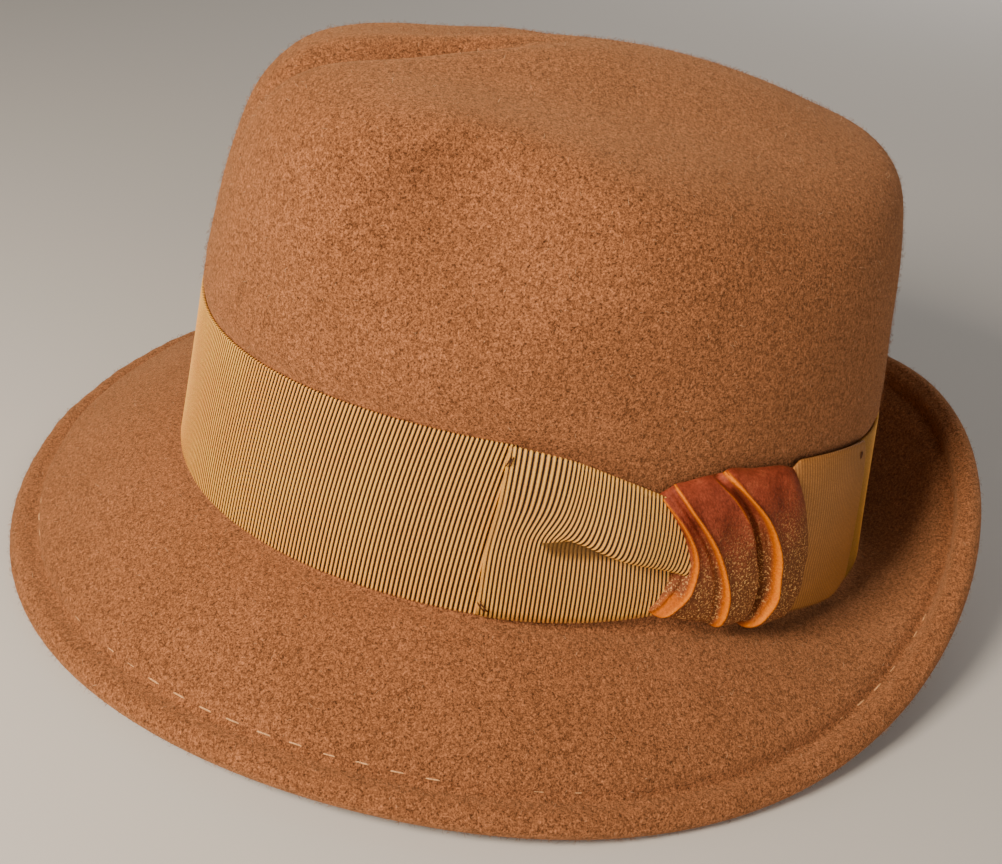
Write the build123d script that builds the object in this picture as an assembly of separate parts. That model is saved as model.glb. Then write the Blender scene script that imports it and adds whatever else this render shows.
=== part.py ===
from build123d import *
import os
from math import atan2, cos, exp, hypot, pi, radians, sin, tanh

# A soft felt fedora, resting on a flat surface on the front edge and both sides of its brim.
# Millimetres. Front of the hat faces -Y, the bow is on the wearer's left (+X), crown up (+Z).
# "turn" is the angle around the head oval: 0 at +X, 90 degrees at the back (+Y).

# ---------------------------------------------------------------- driving dimensions
HEAD_HALF_LENGTH = 103.0   # oval of the hat band's outer face at the crown break
HEAD_HALF_WIDTH = 86.0
OVAL_CENTRE_Y = 8.73       # puts the middle of the whole hat over the origin
RIBBON_WIDTH = 45.0
RIBBON_THICKNESS = 0.7
RIBBON_TAPER = 5.9         # how far the crown leans in over the ribbon's width
BREAK_HEIGHT = 23.19       # where crown meets brim, above the table
BREAK_TILT = -11.4         # lower at the back
BREAK_SADDLE = 4.2         # higher at the sides
FELT = 2.3
WELT = 4.4                 # felt folded under along the brim's edge
WELT_WIDTH = 8.8           # stitch line, in from the edge
UNDERLAP = 0.24            # share of the brim that the felt folded under covers
CLEARANCE = 0.15           # gap kept between neighbouring pieces
BREAK_RADIUS = 2.2
BREAK_DROP = 1.6           # the felt bends this far under the ribbon's lower edge
BRIM_WIDTH = (39.3, -8.8, 2.1)
BRIM_EDGE_HEIGHT = (11.69, 12.7, -9.2, -6.0)
BRIM_BULGE = 0.13          # how far the brim bows off its straight slope

# crown above the ribbon, in heights above the break's mean height
SHOULDER_HEIGHT = (108.0, -8.7, 2.75, -3.45)
WALL_INSET = (10.5, 0.25, -1.8)
SHOULDER_INSET = (20.0, -3.0, 3.2)
RIDGE_MIDDLE_Y = 1.8
RIDGE_HALF_LENGTH = 52.2
RIDGE_HEIGHT = (122.6, -0.0553, -0.00214, -0.0000083)
SHOULDER_SAG = 10.8
DENT_DEPTH = 7.8           # the long dent down the middle of the crown
DENT_Y = -48.8
DENT_LENGTH_FRONT = 30.4
DENT_LENGTH_BACK = 29.1
DENT_HALF_WIDTH = 7.7
PINCH_DEPTH = 17.0         # two hollows at the front, one on each side of the dent
PINCH_Y = -42.0
PINCH_HEIGHT = 101.0
PINCH_LENGTH = 25.0
PINCH_TALLNESS = 17.0
PINCH_RISE = 0.28

SWEATBAND_HEIGHT = 36.0
SWEATBAND_THICKNESS = 0.9
REED_RADIUS = 0.8
LINING_THICKNESS = 0.4
LINING_GAP = 3.0
LINING_BOTTOM = 38.0
LINING_TOP = 74.0

KNOT_START = 4.0           # places along the band, from turn 0 towards the back
KNOT_END = 49.5
FRONT_FOLD = -36.5
REAR_FOLD = 80.0
BOW_MIDDLE = 27.0
WING_TOP = 3.0             # how far a wing stands out from the band
ARC_PER_DEGREE = 1.78

STITCH_LENGTH = 4.3
STITCH_COUNT = 104
LINER_STITCH_LENGTH = 2.7  # smaller stitches along the sweatband
LINER_STITCH_COUNT = 120
THREAD_RADIUS = 0.35

COLUMNS = 44               # samples over half a turn of the hat
FRONT = -pi / 2
BACK = pi / 2


# ---------------------------------------------------------------- shape of the hat
def waves(turn, terms):
    basis = (1.0, sin(turn), cos(2 * turn), sin(3 * turn))
    return sum(a * b for a, b in zip(terms, basis))


def oval(turn, out):
    """Point of the head oval, moved outwards along its normal."""
    nx = cos(turn) / HEAD_HALF_WIDTH
    ny = sin(turn) / HEAD_HALF_LENGTH
    size = hypot(nx, ny)
    x = HEAD_HALF_WIDTH * cos(turn) + out * nx / size
    y = HEAD_HALF_LENGTH * sin(turn) + out * ny / size
    return x, y + OVAL_CENTRE_Y


def break_height(turn):
    return waves(turn, (BREAK_HEIGHT, BREAK_TILT, BREAK_SADDLE))


def on_band(turn, up, out):
    """Point a height up the ribbon, a distance out from its outer face."""
    x, y = oval(turn, out - RIBBON_TAPER * up / RIBBON_WIDTH)
    return Vector(x, y, break_height(turn) + up)


def along(place):
    """Turn for a place in millimetres along the band from the middle of the left side."""
    return radians(place / ARC_PER_DEGREE)


def spline_point(points, t):
    """Clamped uniform cubic B-spline by de Boor's rule."""
    count = len(points)
    spans = count - 3
    knots = [0.0] * 4 + [k / spans for k in range(1, spans)] + [1.0] * 4
    t = min(max(t, 0.0), 1.0 - 1e-9)
    span = 3 + int(t * spans)
    work = [points[span - 3 + k] for k in range(4)]
    for level in range(1, 4):
        for k in range(3, level - 1, -1):
            low = knots[span - 3 + k]
            high = knots[span + 1 + k - level]
            share = (t - low) / (high - low)
            work[k] = work[k - 1] * (1 - share) + work[k] * share
    return work[3]


def ridge_height(y):
    away = y - OVAL_CENTRE_Y
    rise = sum(term * away ** power for power, term in enumerate(RIDGE_HEIGHT))
    return BREAK_HEIGHT + rise


def crown_controls(turn):
    """Control points of one meridian of the crown, from the ribbon's top to the ridge line."""
    top = break_height(turn) + RIBBON_WIDTH
    shoulder = BREAK_HEIGHT + waves(turn, SHOULDER_HEIGHT)
    climb = 0.22 * (shoulder - top)
    lean = RIBBON_TAPER * (1 + climb / RIBBON_WIDTH)
    ridge_y = OVAL_CENTRE_Y + RIDGE_MIDDLE_Y + RIDGE_HALF_LENGTH * sin(turn)
    sag = SHOULDER_SAG * cos(turn) ** 2
    start = oval(turn, -RIBBON_TAPER)
    lower = oval(turn, -lean)
    wall = oval(turn, -waves(turn, WALL_INSET))
    corner = oval(turn, -waves(turn, SHOULDER_INSET))
    slope_y = 0.45 * corner[1] + 0.55 * ridge_y
    inner_y = 0.3 * slope_y + 0.7 * ridge_y
    return [
        Vector(*start, top),
        Vector(*lower, top + climb),
        Vector(*wall, top + 0.62 * (shoulder - top)),
        Vector(*corner, shoulder),
        Vector(0.5 * corner[0], slope_y, ridge_height(slope_y) - sag),
        Vector(0.19 * corner[0], inner_y, ridge_height(inner_y) - 0.1 * sag),
        Vector(0, ridge_y, ridge_height(ridge_y)),
    ]


def pressed(point):
    """Push in the dent along the top and the two pinches at the front."""
    y = point.Y - OVAL_CENTRE_Y
    up = point.Z - BREAK_HEIGHT
    run = y - DENT_Y
    length = DENT_LENGTH_FRONT if run < 0 else DENT_LENGTH_BACK
    fade = exp(-(run / length) ** 2)
    width = DENT_HALF_WIDTH * (0.35 + 0.65 * fade)
    near_top = 1 / (1 + exp(-(up - 85) / 6))
    dent = DENT_DEPTH * fade * exp(-(point.X / width) ** 2) * near_top
    off_y = (y - PINCH_Y) / PINCH_LENGTH
    off_z = (up - PINCH_HEIGHT - PINCH_RISE * (y - PINCH_Y)) / PINCH_TALLNESS
    pinch = PINCH_DEPTH * exp(-off_y ** 2 - off_z ** 2) * tanh(point.X / 14)
    return Vector(point.X - pinch, point.Y, point.Z - dent)


def crown_meridian(turn, samples):
    """Points from the ridge line down to just above the ribbon's top."""
    controls = crown_controls(turn)
    steps = [1 - k / samples for k in range(samples)]
    return [pressed(spline_point(controls, t)) for t in steps]


def brim_edge(turn):
    """Outward reach and height of the brim's edge."""
    return waves(turn, BRIM_WIDTH), waves(turn, BRIM_EDGE_HEIGHT)


def brim_point(turn, share):
    """Point of the brim's upper face, share 0 at the crown and 1 at the edge."""
    reach, edge_height = brim_edge(turn)
    foot = break_height(turn) - BREAK_DROP
    fall = foot - edge_height
    slope = atan2(-fall * (1 + 4 * BRIM_BULGE), reach)
    end_out = reach - WELT / 2 * (1 + sin(slope))
    end_height = edge_height + WELT / 2 * cos(slope)
    bow = 4 * BRIM_BULGE * fall * share * (1 - share)
    x, y = oval(turn, BREAK_RADIUS + (end_out - BREAK_RADIUS) * share)
    return Vector(x, y, foot + (end_height - foot) * share + bow)


def wall_profile(turn):
    """Felt behind the ribbon, down to the tight bend into the brim."""
    out = -RIBBON_THICKNESS - CLEARANCE
    wall = [on_band(turn, RIBBON_WIDTH * k / 5, out) for k in (5, 4, 3, 2, 1)]
    wall.append(on_band(turn, 2.5, out))
    foot = break_height(turn) - BREAK_DROP
    for angle in (20, 45, 70):
        swing = radians(angle)
        x, y = oval(turn, out + BREAK_RADIUS * (1 - cos(swing)))
        wall.append(Vector(x, y, foot + BREAK_RADIUS * (1 - sin(swing))))
    return wall


# ---------------------------------------------------------------- building helpers
def normals(grid):
    """Unit normals of a grid of points over half the hat, level across the middle plane."""
    rows = len(grid)
    cols = len(grid[0])
    result = []
    for i in range(rows):
        line = []
        for j in range(cols):
            down = grid[min(i + 1, rows - 1)][j] - grid[max(i - 1, 0)][j]
            across = grid[i][min(j + 1, cols - 1)] - grid[i][max(j - 1, 0)]
            normal = down.cross(across) if i or 0 < j < cols - 1 else Vector(0, 0, 1)
            if j in (0, cols - 1) or i == 0:
                normal = Vector(0, normal.Y, normal.Z)
            line.append(normal.normalized())
        result.append(line)
    result[0][0] = result[1][0]
    result[0][-1] = result[1][-1]
    return result


def moved_in(grid, facing, depth):
    """The grid moved inwards; depth is one value for each row."""
    pairs = zip(grid, facing, depth)
    return [[p - n * d for p, n in zip(line, ns)] for line, ns, d in pairs]


def turns():
    return [FRONT + (BACK - FRONT) * j / COLUMNS for j in range(COLUMNS + 1)]


def ruled(first, second):
    return Face.make_surface_from_curves(first, second)


def mirrored_solid(rows):
    """Closed solid from rows of points over half the hat, with its rim in the middle plane."""
    tracks = [Edge.make_spline(row) for row in rows]
    half = [ruled(a, b) for a, b in zip(tracks, tracks[1:])]
    return Solid(Shell(half + [face.mirror(Plane.YZ) for face in half]))


def ring_solid(section):
    """Ring around the hat. section(turn) gives the corners of its cross-section."""
    sections = [section(turn) for turn in turns()]
    tracks = [Edge.make_spline(list(track)) for track in zip(*sections)]
    half = [ruled(a, b) for a, b in zip(tracks, tracks[1:] + tracks[:1])]
    return Solid(Shell(half + [face.mirror(Plane.YZ) for face in half]))


def strip_solid(sections):
    """Open strip from a list of cross-sections, closed by a flat face at each end."""
    tracks = [Edge.make_spline(list(track)) for track in zip(*sections)]
    faces = [ruled(a, b) for a, b in zip(tracks, tracks[1:] + tracks[:1])]
    faces += [Face(Wire.make_polygon(end, close=True)) for end in (sections[0], sections[-1])]
    return Solid(Shell(faces))


def faceted_solid(sections):
    """Open strip of plain four-cornered facets, for tight folds and pleats."""
    faces = [Face(Wire.make_polygon(end, close=True)) for end in (sections[0], sections[-1])]
    for one, two in zip(sections, sections[1:]):
        for k in range(len(one)):
            m = (k + 1) % len(one)
            faces.append(ruled(Edge.make_line(one[k], one[m]), Edge.make_line(two[k], two[m])))
    return Solid(Shell(faces))


def slab(turn, low, high, inner, outer):
    """Upright four-cornered cross-section that follows the band's lean."""
    return [
        on_band(turn, low, inner),
        on_band(turn, low, outer),
        on_band(turn, high, outer),
        on_band(turn, high, inner),
    ]


def thread(start, end):
    """One short straight stitch."""
    path = end - start
    plane = Plane(origin=start, z_dir=path)
    return Solid.make_cylinder(THREAD_RADIUS, path.length, plane)


# ---------------------------------------------------------------- pieces
def felt_body():
    """Crown and brim: one piece of felt, folded under along the brim's edge."""
    steps = [0, 0.12, 0.24, 0.36, 0.48, 0.6, 0.7, 0.76, 0.79, 0.82, 0.86, 0.9, 0.95, 1]
    columns = []
    for turn in turns():
        brim = [brim_point(turn, share) for share in steps]
        columns.append(crown_meridian(turn, 26) + wall_profile(turn) + brim)
    outer = [list(row) for row in zip(*columns)]
    facing = normals(outer)
    plain = len(outer) - len(steps)
    depth = [FELT] * plain
    for share in steps:
        blend = min(max((share - 1 + UNDERLAP) / 0.1, 0), 1)
        depth.append(FELT + (WELT - FELT) * blend * blend * (3 - 2 * blend))
    inner = moved_in(outer, facing, depth)
    rim = []
    for angle in (30, 60, 90, 120, 150):
        swing = radians(angle)
        line = []
        for j in range(COLUMNS + 1):
            centre = (outer[-1][j] + inner[-1][j]) / 2
            up = facing[-1][j] * (WELT / 2)
            ahead = (outer[-1][j] - outer[-2][j]).normalized() * (WELT / 2)
            line.append(centre + up * cos(swing) + ahead * sin(swing))
        line[0] = Vector(0, line[0].Y, line[0].Z)
        line[-1] = Vector(0, line[-1].Y, line[-1].Z)
        rim.append(line)
    return mirrored_solid(outer + rim + inner[::-1])


def hat_band():
    """Grosgrain ribbon around the crown; its two ends finish under the bow."""
    start = along(REAR_FOLD - 12)
    end = 2 * pi + along(FRONT_FOLD + 8)
    count = 72
    path = [start + (end - start) * k / count for k in range(count + 1)]
    return strip_solid([slab(t, 0, RIBBON_WIDTH, -RIBBON_THICKNESS, 0) for t in path])


def wing(fold, root, root_low, root_high):
    """Ribbon loop lying on the band: an under layer, a tight fold and an upper layer."""
    under = 0.3
    upper = WING_TOP - RIBBON_THICKNESS
    bend = (upper - under) / 2
    way = 1 if fold > root else -1
    half = RIBBON_THICKNESS / 2
    flat = [root + (fold - root) * k / 8 for k in range(9)]
    sections = []

    def section(place, out, nx, ny):
        share = min(max((place - root) / (fold - root), 0), 1)
        pinch = (1 - share) ** 1.5
        low = root_low * pinch
        high = RIBBON_WIDTH - (RIBBON_WIDTH - root_high) * pinch
        near = along(place - half * nx)
        far = along(place + half * nx)
        return [
            on_band(near, low, out - half * ny),
            on_band(far, low, out + half * ny),
            on_band(far, high, out + half * ny),
            on_band(near, high, out - half * ny),
        ]

    for place in flat:
        sections.append(section(place, under + half, 0, -1))
    for angle in (30, 60, 90, 120, 150):
        swing = radians(angle)
        out = under + half + bend * (1 - cos(swing))
        sections.append(section(fold + way * bend * sin(swing), out, way * sin(swing), -cos(swing)))
    for place in reversed(flat):
        sections.append(section(place, upper + half, 0, 1))
    return faceted_solid(sections)


def knot_face(place, up):
    """How far the velvet stands out: three pleats that slant across the knot."""
    share = (place - KNOT_START) / (KNOT_END - KNOT_START)
    slant = 0.10 * (1 - up / RIBBON_WIDTH)
    pleats = 0.0
    for ridge in (0.12, 0.36, 0.72):
        pleats += exp(-((share - ridge - slant) / 0.07) ** 2)
    return 5.0 + 1.6 * sin(pi * share) + 1.2 * pleats


def velvet_knot():
    """Pleated velvet strap wrapped around the middle of the bow, open behind for the ribbon."""
    sections = []
    count = 24
    for k in range(count + 1):
        place = KNOT_START + (KNOT_END - KNOT_START) * k / count
        turn = along(place)
        share = k / count
        low = 5.0 - 3.2 * share - sin(pi * share)
        high = 41.0 + 3.5 * share + 3 * sin(pi * share)
        wall = 1.8
        section = [on_band(turn, low + wall, 0.3), on_band(turn, low, 0.3)]
        section.append(on_band(turn, low - 0.6, 2.0))
        for step in range(7):
            up = low + 1.5 + (high - low - 3.0) * step / 6
            dome = 1.5 * sin(pi * (step + 0.6) / 7.2)
            section.append(on_band(turn, up, knot_face(place, up) - 1.5 + dome))
        section.append(on_band(turn, high + 0.6, 2.0))
        section += [on_band(turn, high, 0.3), on_band(turn, high - wall, 0.3)]
        back = WING_TOP + 0.4
        section += [on_band(turn, high - wall, back), on_band(turn, low + wall, back)]
        sections.append(section)
    return faceted_solid(sections)


def welt_stitching():
    """Running stitches that hold the folded edge, lying on the brim's upper face."""
    share = 1 - (WELT_WIDTH - WELT / 2) / (BRIM_WIDTH[0] - BREAK_RADIUS)
    stitches = []
    for k in range(STITCH_COUNT):
        turn = 2 * pi * (k + 0.5) / STITCH_COUNT
        swing = STITCH_LENGTH / 2 / (HEAD_HALF_WIDTH + BRIM_WIDTH[0])
        ends = []
        for place in (turn - swing, turn + swing):
            lift = Vector(0, 0, THREAD_RADIUS + 0.45)
            ends.append(brim_point(place, share) + lift)
        stitches.append(thread(*ends))
    return Compound(children=stitches)


def bow_tacks():
    """Four short stitches that catch the bow's folds to the band."""
    out = WING_TOP + THREAD_RADIUS + CLEARANCE
    tacks = []
    for place in (FRONT_FOLD + 1.5, REAR_FOLD - 1.5):
        for up in (2.5, 41.5):
            ends = [on_band(along(place), up + climb, out) for climb in (0, 2.2)]
            tacks.append(thread(*ends))
    return Compound(children=tacks)


INNER_FACE = -RIBBON_THICKNESS - CLEARANCE - FELT
TAPE_OUT = INNER_FACE - CLEARANCE
BAND_OUT = TAPE_OUT - 0.3 - CLEARANCE
BAND_IN = BAND_OUT - SWEATBAND_THICKNESS


def sweatband():
    return ring_solid(lambda turn: slab(turn, 1.6, SWEATBAND_HEIGHT, BAND_IN, BAND_OUT))


def reed_tape():
    return ring_solid(lambda turn: slab(turn, 1.6, 9.0, TAPE_OUT - 0.3, TAPE_OUT))


def sweatband_reed():
    """Springy round reed that keeps the sweatband's lower edge in shape."""
    middle = (BAND_IN + TAPE_OUT) / 2

    def section(turn):
        corners = [2 * pi * k / 8 for k in range(8)]
        return [on_band(turn, REED_RADIUS * sin(a), middle + REED_RADIUS * cos(a)) for a in corners]

    return ring_solid(section)


def sweatband_stitching():
    """Row of stitches along the sweatband's lower edge, on its inner face."""
    stitches = []
    for k in range(LINER_STITCH_COUNT):
        turn = 2 * pi * (k + 0.5) / LINER_STITCH_COUNT
        swing = LINER_STITCH_LENGTH / (HEAD_HALF_LENGTH + HEAD_HALF_WIDTH)
        out = BAND_IN - THREAD_RADIUS - 0.15
        stitches.append(thread(on_band(turn - swing, 4.5, out), on_band(turn + swing, 4.5, out)))
    return Compound(children=stitches)


def patch_solid(middle, width, low, high, outer, thickness):
    """Small flat piece lying against the inner side of a band."""
    half = radians(width / 2 / ARC_PER_DEGREE)
    path = [middle - half + 2 * half * k / 8 for k in range(9)]
    return strip_solid([slab(t, low, high, outer - thickness, outer) for t in path])


def sweatband_join_tape():
    """Tape over the sweatband's butt joint at the back."""
    return patch_solid(BACK, 9.0, 8.0, 34.0, BAND_IN - CLEARANCE, 0.4)


def sweatband_bow():
    """Small flat ribbon bow on the joint: two loops and a centre wrap in one piece."""
    outer = BAND_IN - CLEARANCE - 0.4 - CLEARANCE
    sections = []
    for k in range(17):
        share = k / 8 - 1
        half = 1.3 + 2.6 * min(abs(share) * 1.8, 1)
        deep = 0.7 + 0.5 * (1 - min(abs(share) * 2.5, 1))
        turn = BACK + radians(share * 5.0)
        sections.append(slab(turn, 12 - half, 12 + half, outer - deep, outer))
    return faceted_solid(sections)


def size_tab():
    """Blank woven tab on the sweatband beside the joint."""
    return patch_solid(BACK + radians(14), 16.0, 10.0, 22.0, BAND_IN - CLEARANCE, 0.3)


def lining_out(turn, up):
    """Place of the lining's outer face, easing in as it rises."""
    return INNER_FACE - LINING_GAP - 0.02 * up * (1 + 0.6 * cos(turn) ** 2)


def lining_side():
    """Upright wall of the satin lining, a plain strip joined to the oval top."""
    def section(turn):
        out = lining_out(turn, LINING_BOTTOM)
        top_out = lining_out(turn, LINING_TOP) - 3.0
        return [
            on_band(turn, LINING_BOTTOM, out - LINING_THICKNESS),
            on_band(turn, LINING_BOTTOM, out),
            on_band(turn, LINING_TOP, top_out),
            on_band(turn, LINING_TOP, top_out - LINING_THICKNESS),
        ]
    return ring_solid(section)


def lining_piping():
    """Thin cord in the seam between the lining's side and its top."""
    def section(turn):
        out = lining_out(turn, LINING_TOP) - 3.0 - LINING_THICKNESS / 2
        up = LINING_TOP + 1.2
        corners = [2 * pi * k / 8 for k in range(8)]
        return [on_band(turn, up + 0.9 * sin(a), out + 0.9 * cos(a)) for a in corners]
    return ring_solid(section)


def lining_tip():
    """Oval top of the lining, lying loosely a little under the felt."""
    samples = 14
    columns = []
    for turn in turns():
        out = lining_out(turn, LINING_TOP) - 3.0 - LINING_THICKNESS / 2
        rim = on_band(turn, LINING_TOP + 2.5, out)
        ridge_y = OVAL_CENTRE_Y + RIDGE_MIDDLE_Y + RIDGE_HALF_LENGTH * sin(turn)
        peak = Vector(0, ridge_y, ridge_height(ridge_y) - 20)
        line = []
        for k in range(samples + 1):
            share = k / samples
            flat = peak * (1 - share) + rim * share
            line.append(flat + Vector(0, 0, 6 * share * (1 - share)))
        columns.append(line)
    outer = [list(row) for row in zip(*columns)]
    facing = normals(outer)
    inner = moved_in(outer, facing, [LINING_THICKNESS] * len(outer))
    return mirrored_solid(outer + inner[::-1])


PIECES = {
    "felt_body": felt_body,
    "welt_stitching": welt_stitching,
    "hat_band": hat_band,
    "bow_front_wing": lambda: wing(FRONT_FOLD, BOW_MIDDLE - 0.3, 13.0, 30.0),
    "bow_rear_wing": lambda: wing(REAR_FOLD, BOW_MIDDLE + 0.3, 10.0, 38.0),
    "velvet_knot": velvet_knot,
    "bow_tacks": bow_tacks,
    "sweatband": sweatband,
    "reed_tape": reed_tape,
    "sweatband_reed": sweatband_reed,
    "sweatband_stitching": sweatband_stitching,
    "sweatband_join_tape": sweatband_join_tape,
    "sweatband_bow": sweatband_bow,
    "size_tab": size_tab,
    "lining_side": lining_side,
    "lining_piping": lining_piping,
    "lining_tip": lining_tip,
}

os.makedirs("parts", exist_ok=True)
for name, make in PIECES.items():
    piece = make()
    piece.label = name
    export_step(piece, f"parts/{name}.step")
    box = piece.bounding_box()
    print(name, round(piece.volume), box.min, box.max)
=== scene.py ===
from math import cos, pi, radians, sin

import bmesh
import bpy
import numpy as np
from mathutils import Matrix, Vector


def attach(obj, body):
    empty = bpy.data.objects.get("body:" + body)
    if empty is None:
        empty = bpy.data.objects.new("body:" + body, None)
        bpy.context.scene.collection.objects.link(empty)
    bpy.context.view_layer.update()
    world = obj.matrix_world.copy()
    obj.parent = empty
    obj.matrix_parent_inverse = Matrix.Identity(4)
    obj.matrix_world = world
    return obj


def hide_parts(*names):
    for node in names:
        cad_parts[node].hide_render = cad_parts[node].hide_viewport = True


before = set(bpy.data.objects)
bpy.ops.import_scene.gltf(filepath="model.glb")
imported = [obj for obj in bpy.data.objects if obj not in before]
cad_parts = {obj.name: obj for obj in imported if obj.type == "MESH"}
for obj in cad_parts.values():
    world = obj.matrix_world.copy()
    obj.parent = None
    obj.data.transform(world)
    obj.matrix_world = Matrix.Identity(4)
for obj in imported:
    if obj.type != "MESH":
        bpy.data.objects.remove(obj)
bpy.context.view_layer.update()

# A soft felt fedora. Shapes are worked out in millimetres, and meshes are made in metres.
# Front of the hat faces -Y, the bow is on the wearer's left (+X), crown up (+Z).
# turn: angle around the head oval, 0 at +X and 90 degrees at the back (+Y)
# up: height above the crown break; out: distance out from the hat band's outer face
# place: distance along the band from turn 0 towards the back, true at the hat's sides
# A tuple of sizes holds a constant and the first waves round the hat, for waves().
MM = 0.001

# ------------------------------ the hat's shape
HEAD_HALF_LENGTH = 103.0   # oval of the hat band's outer face at the crown break
HEAD_HALF_WIDTH = 86.0
OVAL_CENTRE_Y = 8.73
RIBBON_WIDTH = 45.0
RIBBON_THICKNESS = 0.7
RIBBON_TAPER = 5.9         # how far the crown leans in over the ribbon's width
BREAK_HEIGHT = 23.19       # where crown meets brim, above the table
BREAK_TILT = -11.4         # lower at the back
BREAK_SADDLE = 4.2         # higher at the sides
BREAK_RADIUS = 2.2
BREAK_DROP = 1.6           # the brim starts this far under the ribbon's lower edge
FELT = 2.3
WELT = 4.4                 # felt folded under along the brim's edge
WELT_WIDTH = 8.8           # stitch line, in from the edge
STITCH_COUNT = 104
CLEARANCE = 0.15
BRIM_WIDTH = (39.3, -8.8, 2.1)
BRIM_EDGE_HEIGHT = (11.69, 12.7, -9.2, -6.0)
BRIM_BULGE = 0.13          # how far the brim bows off its straight slope
SHOULDER_HEIGHT = (108.0, -8.7, 2.75, -3.45)
WALL_INSET = (10.5, 0.25, -1.8)
SHOULDER_INSET = (20.0, -3.0, 3.2)
RIDGE_MIDDLE_Y = 1.8
RIDGE_HALF_LENGTH = 52.2
RIDGE_HEIGHT = (122.6, -0.0553, -0.00214, -0.0000083)   # for each power of y
SHOULDER_SAG = 10.8
DENT_DEPTH = 7.8           # the long dent down the middle of the crown
DENT_Y = -48.8
DENT_LENGTH_FRONT = 30.4
DENT_LENGTH_BACK = 29.1
DENT_HALF_WIDTH = 7.7
PINCH_DEPTH = 17.0         # two hollows at the front, one on each side of the dent
PINCH_Y = -42.0
PINCH_HEIGHT = 101.0
PINCH_LENGTH = 25.0
PINCH_TALLNESS = 17.0
PINCH_RISE = 0.28

COLUMNS = 4 * STITCH_COUNT
CROWN_ROWS = 60
WALL_ROWS = 16
BRIM_ROWS = 22
WELT_ROWS = 37             # closer rows, for the stitch groove and the roll
SMOOTH_ROWS = 24           # rows up from the brim that stay smooth, for the ribbon

# ------------------------------ ribbon, bow and stitches
FRONT_FOLD = -36.5         # places of the bow's two end folds
REAR_FOLD = 80.0
BAND_START = REAR_FOLD - 27   # under the rear loop
BAND_TUCK = 1.4            # the band's other end reaches this far under the front fold
ARC_PER_DEGREE = 1.78
GIRTH_SHARE = 0.93         # the band's real length over its length in places
RIB_PITCH = 1.10
RIB_STEPS = 6              # points across one rib
RIB_HEIGHT = 0.44
LOOP_EDGE = 0.9            # height of the small thread loops along the ribbon's edges
WING_STEP = 0.96 * RIB_PITCH / RIB_STEPS
WING_THICKNESS = 0.55
WING_TAIL = 9.0            # ribbon folded back under each loop
FOLD_RADIUS = 0.95
TAIL_OUT = 0.45            # how far out the loops' tails and the velvet's edges lie
KNOT_BASE = 1.0

STITCH_LENGTH = 4.3
STITCH_RADIUS = 0.2275     # the felt hides the thread's sides
STITCH_DEPTH = 0.50
TACK_RADIUS = 0.2
NAP_COUNT = 19000
NAP_ROOT = 0.042           # radius of a fibre at its root and half way
NAP_MIDDLE = 0.034

# ------------------------------ inside
SWEATBAND_HEIGHT = 36.0
SWEATBAND_OUT = -3.75
SWEATBAND_THICKNESS = 0.9
LINING_OUT = -6.15
LINING_BOTTOM = 38.0
LINING_TOP = 74.0
LINING_THICKNESS = 0.4
LINING_LEAN = 3.0          # how far the lining's side leans in on its way up
GATHERS = 66

# ------------------------------ where the viewer stands
VIEW_AZIMUTH = radians(72.84)
VIEW_ELEVATION = radians(31.79)
VIEW_ROLL = radians(7.8)
VIEW_DISTANCE = 0.38975    # metres, like the shift to the right and up
VIEW_SHIFT = (-0.01089, 0.00396)
SENSOR = 36.0
FOCAL = 46.707


# ------------------------------ small formulas
def waves(turn, terms):
    """A constant and the first waves round the hat, front to back and side to side."""
    basis = (1.0, np.sin(turn), np.cos(2 * turn), np.sin(3 * turn))
    return sum(a * b for a, b in zip(terms, basis))


def hump(distance, width, power=2):
    """1 at no distance, falling to nothing beyond the width on both sides."""
    return np.exp(-(distance / width) ** power)


def eased(value, low, high):
    """0 below low, 1 above high and a smooth step between."""
    t = np.clip((value - low) / (high - low), 0, 1)
    return t * t * (3 - 2 * t)


def step_up(distance, width):
    """0 well before no distance, 1 well past it."""
    return 1 / (1 + np.exp(-np.clip(distance / width, -40, 40)))


def quarter_round(share, width):
    """Rises from 0 to 1 over the width, as the side of a circle does."""
    return np.sqrt(np.clip(1 - (1 - np.clip(share / width, 0, 1)) ** 2, 0, 1))


def unit(vectors):
    return vectors / np.linalg.norm(vectors, axis=-1, keepdims=True)


def points(x, y, z):
    """Stack coordinates into an array of points."""
    return np.stack(np.broadcast_arrays(x, y, z), -1).astype(float)


def spline_basis(count, steps):
    """Weights of a clamped uniform cubic B-spline, one row for each step."""
    knots = np.concatenate([[0] * 3, np.linspace(0, 1, count - 2), [1] * 3])
    t = np.clip(steps, 0, 1 - 1e-9)
    low = knots[:-1]
    high = knots[1:]
    weight = ((t[:, None] >= low) & (t[:, None] < high)).astype(float)
    for degree in range(1, 4):
        fresh = np.zeros((len(t), weight.shape[1] - 1))
        for j in range(fresh.shape[1]):
            rise = knots[j + degree] - knots[j]
            fall = knots[j + degree + 1] - knots[j + 1]
            if rise > 0:
                fresh[:, j] += (t - knots[j]) / rise * weight[:, j]
            if fall > 0:
                fresh[:, j] += (knots[j + degree + 1] - t) / fall * weight[:, j + 1]
        weight = fresh
    return weight


# ------------------------------ surfaces of the hat
def oval(turn, out):
    """Point of the head oval, moved outwards along its normal."""
    nx = np.cos(turn) / HEAD_HALF_WIDTH
    ny = np.sin(turn) / HEAD_HALF_LENGTH
    size = np.hypot(nx, ny)
    x = HEAD_HALF_WIDTH * np.cos(turn) + out * nx / size
    y = HEAD_HALF_LENGTH * np.sin(turn) + out * ny / size
    return x, y + OVAL_CENTRE_Y


def break_height(turn):
    return waves(turn, (BREAK_HEIGHT, BREAK_TILT, BREAK_SADDLE))


def on_band(turn, up, out):
    """Point a height up the ribbon, a distance out from its outer face."""
    x, y = oval(turn, out - RIBBON_TAPER * up / RIBBON_WIDTH)
    return points(x, y, break_height(turn) + up)


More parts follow.
